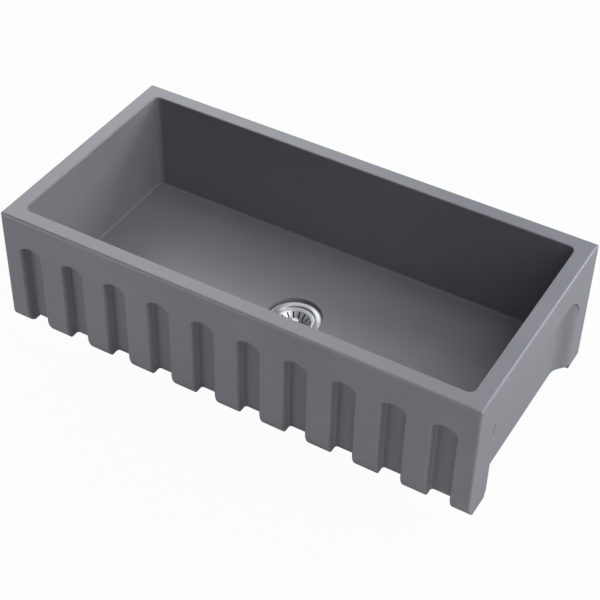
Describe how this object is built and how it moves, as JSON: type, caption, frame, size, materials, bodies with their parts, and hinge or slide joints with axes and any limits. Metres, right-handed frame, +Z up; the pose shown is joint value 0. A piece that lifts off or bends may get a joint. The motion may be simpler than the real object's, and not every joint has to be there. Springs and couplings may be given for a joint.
{
  "type": "farmhouse apron front sink",
  "caption": "Rectangular single-bowl farmhouse sink in matte grey fireclay with a fluted apron front, recessed sides and a lift-out basket strainer.",
  "frame": {"origin": "centre of the plane that the four corner feet stand on, below the middle of the outlet", "axes": "+X runs right along the fluted front, the fluted front faces -Y, the plain back faces +Y, +Z points up to the rim"},
  "size_m": [0.914, 0.462, 0.3666],
  "materials": {
    "fireclay": "matte bluish grey glaze with a satin sheen",
    "steel": "brushed stainless steel",
    "zinc": "dull cast zinc",
    "chrome": "polished chrome plate on brass",
    "rubber": "matte black rubber",
    "fibre": "pressed fibre board",
    "plastic": "white polyethylene"
  },
  "bodies": {
    "sink": {"sink_body": "fireclay", "flange_seal": "rubber", "strainer_body": "steel", "outlet_cross": "steel", "sink_gasket": "rubber", "friction_ring": "fibre", "lock_nut": "zinc", "tailpiece_washer": "plastic", "coupling_nut": "chrome", "tailpiece": "chrome"},
    "basket": {"basket_cup": "steel", "basket_stopper": "rubber", "stopper_washer": "steel", "stem_nut": "steel", "basket_stem": "steel", "basket_knob": "steel"}
  },
  "joints": [
    {"name": "basket_lift", "type": "slide", "parent": "sink", "child": "basket", "axis": [0, 0, 1], "range_m": [0, 0.285]}
  ]
}
